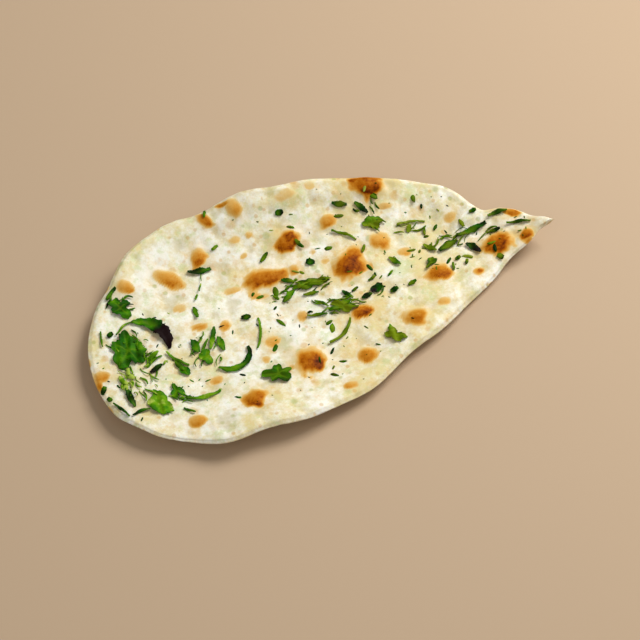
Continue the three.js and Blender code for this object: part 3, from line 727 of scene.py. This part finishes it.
def makeHerb():
    look = herbLook
    material, tree = newMaterial("choppedCoriander")
    shader = tree.nodes["Principled BSDF"]
    place = addNode(tree, "ShaderNodeTexCoord").outputs["Object"]
    shade = attributeOf(tree, "shade")
    blotches = mapRange(tree, noiseAt(tree, place, *look["patches"]), *look["blotches"], False)
    green = colourRamp(tree, calculate(tree, "ADD", shade, blotches), look["stops"])
    dryPatches = mapRange(tree, noiseAt(tree, place, *look["dryness"]), *look["dryPatches"])
    dryPatches = calculate(tree, "MULTIPLY", dryPatches, mapRange(tree, shade, *look["dryNotDark"]))
    dried = calculate(tree, "MULTIPLY", attributeOf(tree, "dry"), dryPatches)
    green = mixColour(tree, dried, green, look["olive"])
    veinShows = mapRange(tree, shade, *look["veinNotDark"])
    veined = calculate(tree, "MULTIPLY", attributeOf(tree, "vein"), veinShows)
    tree.links.new(mixColour(tree, veined, green, look["vein"]), shader.inputs["Base Color"])
    shader.inputs["Roughness"].default_value = look["roughness"]
    shader.inputs["Specular IOR Level"].default_value = look["shine"]
    addRelief(tree, shader, noiseAt(tree, place, *look["grain"]), look["relief"])
    return material


# How dried out, and so how olive, the coriander is: more so towards the tip.
def dryAt(x):
    least, more, start, stop = herbLook["dry"]
    return least + more * smoothStep(start, stop, x)


# Lays a flat shape, in millimetres of its own plan, on the bread. Its z is kept as height above it.
def layOnBread(verts, sprig):
    form = layForm
    turnsAlong, turnsAcross = form["waveTurns"]
    for v in verts:
        along, across, height = v.co
        spot = inFrame(*placed(sprig, along, across))
        wave = form["wave"] * (1 + math.sin(along * turnsAlong + across * turnsAcross))
        v.co = (spot.x, spot.y, topAt(spot.x, spot.y) + (form["clear"] + wave + height) * mm)


# How far a leaf's edge is from its middle, as a share of its ellipse.
def leafReach(leaf, seed, share, angle):
    form = leafForm
    fromLobe = angle - math.radians(leaf["first"])
    notch = leaf["depth"] * (1 - abs(math.cos(leaf["lobes"] * fromLobe / 2)))
    twice = form["uneven"][0] * math.sin(2 * fromLobe + leaf["x"])
    thrice = form["uneven"][1] * math.sin(3 * fromLobe + leaf["y"])
    around = Vector((math.cos(angle), math.sin(angle), 0))
    ragged = sum(
        by * noise.noise(around * often + Vector((0, 0, seed * form["seedStep"])))
        for by, often in form["ragged"]
    )
    return (1 + share * (twice + thrice - notch)) * (1 + ragged * share)


def herbLayers(bm):
    return addLayers(bm, "shade", "vein", "dry")


def makeLeaf(leaf, seed):
    form = leafForm
    bm = bmesh.new()
    bmesh.ops.create_grid(bm, x_segments=form["cells"], y_segments=form["cells"], size=1)
    bmesh.ops.solidify(bm, geom=bm.faces[:], thickness=form["thickness"])
    low = min(v.co.z for v in bm.verts)
    layers = herbLayers(bm)
    sideShading, veinShading = form["shading"]
    for v in bm.verts:
        share, angle = gridToDisc(v.co.x, v.co.y)
        reach = share * leafReach(leaf, seed, share, angle)
        fromVein = abs(math.sin(leaf["lobes"] * (angle - math.radians(leaf["first"])) / 2))
        fold = form["fold"] * share * fromVein
        nearVein = smoothStep(*form["veinFades"], fromVein * share)
        v[layers["vein"]] = nearVein * smoothStep(*form["veinEnds"], share)
        v[layers["dry"]] = dryAt(leaf["x"])
        uneven = sideShading * math.sin(angle * 2 + seed) + veinShading * fromVein
        v[layers["shade"]] = leaf["shade"] + uneven * share
        along = reach * math.cos(angle) * leaf["long"] / 2
        across = reach * math.sin(angle) * leaf["wide"] / 2
        v.co = (along, across, v.co.z - low + fold)
    layOnBread(bm.verts, leaf)
    bmesh.ops.recalc_face_normals(bm, faces=bm.faces)
    return bm


# A point on a stalk's middle line and its heading, from share -0.5 at the back end to 0.5.
def onStalk(stalk, share):
    arc = math.radians(stalk["bend"])
    radius = stalk["long"] / arc
    heading = share * arc
    depth = radius - radius * math.cos(arc / 2)
    return radius * math.sin(heading), radius - radius * math.cos(heading) - depth / 2, heading


# Half the width of a stalk or narrow leaf at a share of its length, on its left or right edge.
def stalkHalf(stalk, seed, share, onRight):
    form = stalkForm
    half = stalk["wide"] / 2 * (1 - stalk["pointed"] * (1 - math.cos(share * math.pi)))
    return half * (1 + sum(
        by * noise.noise(Vector((share * stalk["long"] * often, seed, form["sideSeed"] * onRight)))
        for by, often in form["ragged"]
    ))


# Adds a stalk or narrow leaf to a mesh that has the layers of herbLayers.
def addStalk(bm, layers, stalk, seed, sides, steps):
    form = stalkForm
    start = len(bm.verts)
    ends = bmesh.ops.create_cone(
        bm, cap_ends=True, segments=sides, radius1=1, radius2=1, depth=1
    )["verts"]
    upright = uprightEdges(dict.fromkeys(e for v in ends for e in v.link_edges))
    bmesh.ops.subdivide_edges(bm, edges=upright, cuts=steps, use_grid_fill=True)
    bm.verts.ensure_lookup_table()
    made = bm.verts[start:]
    isLeaf = smoothStep(*form["leafWidth"], stalk["wide"])
    thick = min(form["thickness"], stalk["wide"] * form["thickest"]) / 2
    thick *= 1 - form["leafThinner"] * isLeaf
    shadedBy, shadedTurns = form["shading"]
    for v in made:
        share = v.co.z
        along, across, heading = onStalk(stalk, share)
        side = v.co.x * stalkHalf(stalk, seed, share, v.co.x > 0)
        height = v.co.y * thick + thick + form["leafFold"] * isLeaf * abs(side)
        darkened = stalk["fade"] * smoothStep(*form["fadeAt"], share)
        nearVein = smoothStep(*form["veinFades"], abs(v.co.x))
        v[layers["vein"]] = nearVein * isLeaf + form["stalkVein"] * (1 - isLeaf)
        v[layers["shade"]] = stalk["shade"] + darkened + shadedBy * math.sin(share * shadedTurns + seed)
        v[layers["dry"]] = dryAt(stalk["x"])
        v.co = (along - side * math.sin(heading), across + side * math.cos(heading), height)
    layOnBread(made, stalk)


def makeStalk(stalk, seed):
    bm = bmesh.new()
    addStalk(bm, herbLayers(bm), stalk, seed, stalkForm["sides"], stalkForm["steps"])
    bmesh.ops.recalc_face_normals(bm, faces=bm.faces)
    return bm


herbMaterial = makeHerb()
for number, leaf in enumerate(leaves, 1):
    bm = makeLeaf(leaf, number)
    finishPiece(f"corianderLeaf{number}", bm, herbMaterial, "coriander", f"leaf_{number}")
for number, stalk in enumerate(stalks, 1):
    bm = makeStalk(stalk, number)
    finishPiece(f"corianderStalk{number}", bm, herbMaterial, "coriander", f"stalk_{number}")
print("leaves and stalks laid on")

# The finest bits, strewn in patches of the bread's plan.
flecks = {
    "patches": [
        {"x": -76, "y": -28, "alongX": 19, "alongY": 26, "count": 26},
        {"x": -6, "y": -10, "alongX": 36, "alongY": 15, "count": 19},
        {"x": 58, "y": 0, "alongX": 28, "alongY": 11, "count": 19},
        {"x": 14, "y": 22, "alongX": 46, "alongY": 12, "count": 15},
        {"x": -12, "y": -42, "alongX": 44, "alongY": 16, "count": 15},
    ],
    "shortest": 2,
    "longest": 5.5,
    "slimmest": 0.25,
    "fullest": 0.55,
    "thick": 0.5,
    "gap": 0.6,  # clear of the leaves and stalks
    "groundStep": 2,  # between the circles that stand for the ground under a leaf or stalk
    "around": 10,
    "upright": 6,
    "rough": (0.35, 1.3),  # how much, and how finely
    "shade": (0.45, 0.8, 3.1, 2.7),  # usual, how uneven, and how fast it changes along X and Y
    "seed": 20261,
}
crumbs = {
    "perFleck": 2,
    "size": (0.3, 1.3),  # half the length of the shortest and the longest
    "slim": 0.3,
    "thick": 0.25,
    "spread": 1.15,  # how much wider than the flecks they lie
    "seed": 977,
}

# Thin strands and small bits at places of their own.
strandRows = [
    (-47.4, 9.8, 4, 0.5, -100, 10, 0.4, 0.15, 0),
    (-48.9, 5.2, 4, 0.9, -112, 12, 0.4, 0.1, 0),
    (-51.4, 0.8, 3.2, 1.2, -115, 8, 0.4, 0.22, 0),
    (-93.2, -12, 7, 1, -95, 10, 0.4, 0.3, 0),
    (-89.4, -10.7, 2.6, 2, 20, 5, 0.3, 0.75, 0),
    (-83.3, -8, 10, 0.9, 35, -50, 0.3, 0.26, 0),
    (-75.2, -26.2, 9, 1.2, 27, -8, 0.3, 0.22, 0),
    (-53.6, -23.6, 8, 1.3, 58, -10, 0.4, 0.28, 0),
    (-65.2, -30.4, 5.5, 2.4, -62, 8, 0.4, 0.34, 0),
    (-97, -35.6, 3.4, 2.4, 60, 5, 0.3, 0.6, 0),
    (-95.6, -40.6, 2.6, 1.9, -60, 5, 0.3, 0.55, 0),
    (-39, 21, 3, 1.3, 10, 5, 0.4, 0.2, 0),
    (-40, 34.6, 3, 1.4, 75, 5, 0.4, 0.4, 0),
    (-19.8, -6.9, 3.4, 1.3, -60, 10, 0.4, 0.35, 0),
    (21, 7, 3.4, 1.4, 60, 10, 0.4, 0.3, 0),
    (20.6, -7.8, 3.4, 1.3, 20, 10, 0.4, 0.4, 0),
    (28.6, -7.3, 3, 1, 35, 5, 0.4, 0.4, 0),
    (12.4, -11.5, 3, 1.2, 20, 5, 0.4, 0.6, 0),
    (36, -14.2, 3.6, 1.8, 15, 5, 0.4, 0.5, 0),
    (48, 9.6, 3, 1.4, 80, 5, 0.4, 0.35, 0),
    (69.4, 12, 3, 1.8, 0, 5, 0.4, 0.55, 0),
    (57.6, -7.2, 2.4, 1.6, 20, 5, 0.3, 0.5, 0),
    (60.6, -10, 2.2, 1.5, 60, 5, 0.3, 0.45, 0),
    (54.6, -10.8, 3.6, 1.4, 80, 5, 0.4, 0.4, 0),
    (74.3, -12, 3, 2.4, -40, 5, 0.3, 0.5, 0),
    (76, 0.9, 4, 1.8, 5, 5, 0.4, 0.7, 0),
]
# Fine shreds between and across the larger pieces, where the coriander lies in bunches.
shredKeys = ("x", "y", "alongX", "alongY", "turn", "shade", "widest", "count")
shredRows = [
    (-7, -5, 10, 4.5, 10, 0.42, 1, 22),
    (3, -17, 12, 4, -5, 0.45, 1, 20),
    (60, 2, 15, 4, 15, 0.5, 1, 22),
    (-83, -20, 9, 10, -60, 0.4, 1, 18),
    (-82, -35, 8, 7, -75, 0.1, 1, 20),
    (-86, -33, 4, 4, -60, 0.03, 3, 6),
    (-74, -25, 6, 4, 35, 0.3, 1, 8),
    (-53, -25, 7, 8, -105, 0.35, 1, 12),
    (-67, -44, 5, 4, -20, 0.35, 1, 8),
    (-83, 2, 5, 6, 40, 0.5, 1, 8),
    (27, 21, 6, 6, -50, 0.45, 1, 8),
    (42, 13, 7, 3, 5, 0.25, 1, 7),
    (20, -14, 5, 3, 25, 0.7, 1, 2),
]
shreds = {
    "patches": [dict(zip(shredKeys, row)) for row in shredRows],
    "strands": [dict(zip(stalkKeys, row)) for row in strandRows],
    "long": (2.2, 6.5),
    "narrowest": 0.35,
    "bend": (11, 110),
    "turnSpread": 35,  # to either side
    "shadeSpread": 0.2,
    "pointed": 0.4,
    "margin": 1,  # from an end to the bread's edge
    "sides": 6,
    "steps": 9,
    "strandSteps": 18,
    "seed": 4411,
}


# Draws numbers between two values, or from 0 to 1, and the same ones each time for a seed.
def makeRandom(seed):
    multiplier, modulus = 16807, 2147483647
    state = seed

    def draw(lowest=0, highest=1):
        nonlocal state
        state = state * multiplier % modulus
        return lowest + (highest - lowest) * state / modulus

    return draw


# A random place in a patch, which may be spread wider.
def drawPlace(draw, patch, spread=1):
    away = spread * math.sqrt(draw())
    angle = draw(0, math.tau)
    x = patch["x"] + patch["alongX"] * away * math.cos(angle)
    y = patch["y"] + patch["alongY"] * away * math.sin(angle)
    return x, y


# Whether there is bread on all four sides of a place.
def wellInside(x, y, margin):
    steps = [(margin, 0), (0, margin), (-margin, 0), (0, -margin)]
    places = [inFrame(x + dx, y + dy) for dx, dy in steps]
    return all(topAt(place.x, place.y) is not None for place in places)


# The ground that a leaf or stalk covers, as circles along its length.
def groundOf(sprig):
    steps = math.ceil(sprig["long"] / flecks["groundStep"])
    for k in range(steps + 1):
        share = k / steps - 0.5
        along, across = onStalk(sprig, share)[:2] if "bend" in sprig else (share * sprig["long"], 0)
        yield *placed(sprig, along, across), sprig["wide"] / 2


covered = [circle for sprig in leaves + stalks for circle in groundOf(sprig)]


def clearOfSprigs(x, y, margin):
    return all(math.hypot(x - atX, y - atY) > reach + margin for atX, atY, reach in covered)


def addFleck(bm, layers, x, y, half, slim, turn, thick):
    made = bmesh.ops.create_uvsphere(
        bm, u_segments=flecks["around"], v_segments=flecks["upright"], radius=1
    )["verts"]
    spot = inFrame(x, y)
    ground = topAt(spot.x, spot.y)
    usual, uneven, alongX, alongY = flecks["shade"]
    shade = usual + uneven * noise.noise(Vector((x * alongX, y * alongY, 0)))
    roughBy, finely = flecks["rough"]
    for v in made:
        rough = 1 + roughBy * noise.noise(v.co * finely + Vector((x, y, 0)))
        along, across = v.co.x * half * rough, v.co.y * half * slim * rough
        dx = along * math.cos(turn) - across * math.sin(turn)
        dy = along * math.sin(turn) + across * math.cos(turn)
        v[layers["shade"]] = shade
        v[layers["dry"]] = dryAt(x)
        v.co = (spot.x + dx * mm, spot.y + dy * mm, ground + v.co.z * thick * mm)


# The values are drawn for each fleck, laid or not, so that the next one stays where it is.
def addFlecks(bm, layers):
    random = makeRandom(flecks["seed"])
    for patch in flecks["patches"]:
        for _ in range(patch["count"]):
            x, y = drawPlace(random, patch)
            half = random(flecks["shortest"], flecks["longest"]) / 2
            slim = random(flecks["slimmest"], flecks["fullest"])
            turn = random(-math.pi / 2, math.pi / 2)
            if wellInside(x, y, flecks["longest"]) and clearOfSprigs(x, y, half + flecks["gap"]):
                addFleck(bm, layers, x, y, half, slim, turn, flecks["thick"])


def addCrumbs(bm, layers):
    random = makeRandom(crumbs["seed"])
    smallest, largest = crumbs["size"]
    for patch in flecks["patches"]:
        for _ in range(patch["count"] * crumbs["perFleck"]):
            x, y = drawPlace(random, patch, crumbs["spread"])
            half = smallest + (largest - smallest) * random() ** 2
            turn = random(-math.pi / 2, math.pi / 2)
            if wellInside(x, y, flecks["longest"] / 2) and clearOfSprigs(x, y, 0):
                slim = crumbs["slim"] / math.sqrt(half)
                addFleck(bm, layers, x, y, half, slim, turn, crumbs["thick"])


def addShreds(bm, layers):
    random = makeRandom(shreds["seed"])
    for number, strand in enumerate(shreds["strands"]):
        addStalk(bm, layers, strand, number, shreds["sides"], shreds["strandSteps"])
    turnSpread, shadeSpread = shreds["turnSpread"], shreds["shadeSpread"]
    for patch in shreds["patches"]:
        for number in range(patch["count"]):
            x, y = drawPlace(random, patch)
            shred = {
                "x": x,
                "y": y,
                "long": random(*shreds["long"]),
                "wide": random(shreds["narrowest"], patch["widest"]),
                "turn": patch["turn"] + random(-turnSpread, turnSpread),
                "bend": random(*shreds["bend"]) * (1 if number % 2 else -1),
                "pointed": shreds["pointed"],
                "shade": patch["shade"] + random(-shadeSpread, shadeSpread),
                "fade": 0,
            }
            if wellInside(x, y, shred["long"] / 2 + shreds["margin"]):
                addStalk(bm, layers, shred, number, shreds["sides"], shreds["steps"])


def makeFlecks():
    bm = bmesh.new()
    layers = herbLayers(bm)
    addShreds(bm, layers)
    addFlecks(bm, layers)
    addCrumbs(bm, layers)
    bmesh.ops.recalc_face_normals(bm, faces=bm.faces)
    return bm


finishPiece("corianderFlecks", makeFlecks(), herbMaterial, "coriander", "naan")
print("flecks strewn")

stageLook = {"colour": colour(190, 164, 134), "size": 3.0, "roughness": 0.8}


def makeStage():
    material, tree = newMaterial("paleFloor")
    shader = tree.nodes["Principled BSDF"]
    shader.inputs["Base Color"].default_value = stageLook["colour"]
    shader.inputs["Roughness"].default_value = stageLook["roughness"]
    bm = bmesh.new()
    bmesh.ops.create_grid(bm, x_segments=1, y_segments=1, size=stageLook["size"] / 2)
    mesh = bpy.data.meshes.new("floor")
    bm.to_mesh(mesh)
    bm.free()
    mesh.materials.append(material)
    floor = bpy.data.objects.new("floor", mesh)
    bpy.context.scene.collection.objects.link(floor)


makeStage()

# Lights, all aimed at the bread: place and width of the soft panel in metres, strength in watts.
lights = [
    {"name": "keyPanel", "place": (0.62, 0.32, 0.8), "size": 0.5, "watts": 10.1},
    {"name": "tipPanel", "place": (0.46, 0.06, 0.34), "size": 0.3, "watts": 0.3},
    {"name": "fillPanel", "place": (-0.8, -0.7, 0.9), "size": 1.2, "watts": 2.7},
]
skyLook = {"colour": (1.0, 0.985, 0.96, 1), "strength": 0.33}
view = {
    "azimuth": -14.5,
    "elevation": 56,
    "distance": 0.9,
    "frameWidth": 0.2614,  # what the frame spans at that distance
    "aim": (-0.0044, -0.0039, 0),
    "sensor": 36,
}


def pointAt(thing, place, target):
    thing.location = place
    thing.rotation_euler = (Vector(target) - Vector(place)).to_track_quat("-Z", "Y").to_euler()


def makeLights():
    for light in lights:
        data = bpy.data.lights.new(light["name"], "AREA")
        data.size = light["size"]
        data.energy = light["watts"]
        lamp = bpy.data.objects.new(light["name"], data)
        bpy.context.scene.collection.objects.link(lamp)
        pointAt(lamp, light["place"], (0, 0, 0))
    world = bpy.data.worlds.new("studio")
    world.use_nodes = True
    background = world.node_tree.nodes["Background"]
    background.inputs["Color"].default_value = skyLook["colour"]
    background.inputs["Strength"].default_value = skyLook["strength"]
    bpy.context.scene.world = world


def makeCamera():
    azimuth, elevation = math.radians(view["azimuth"]), math.radians(view["elevation"])
    level = Vector((math.sin(azimuth), -math.cos(azimuth), 0))
    back = level * math.cos(elevation) + Vector((0, 0, math.sin(elevation)))
    data = bpy.data.cameras.new("camera")
    data.sensor_width = view["sensor"]
    data.lens = view["sensor"] * view["distance"] / view["frameWidth"]
    camera = bpy.data.objects.new("camera", data)
    bpy.context.scene.collection.objects.link(camera)
    aim = Vector(view["aim"])
    pointAt(camera, aim + back * view["distance"], aim)
    bpy.context.scene.camera = camera


makeLights()
makeCamera()
bpy.context.scene.view_settings.view_transform = "Standard"
print("stage, lights and camera set")
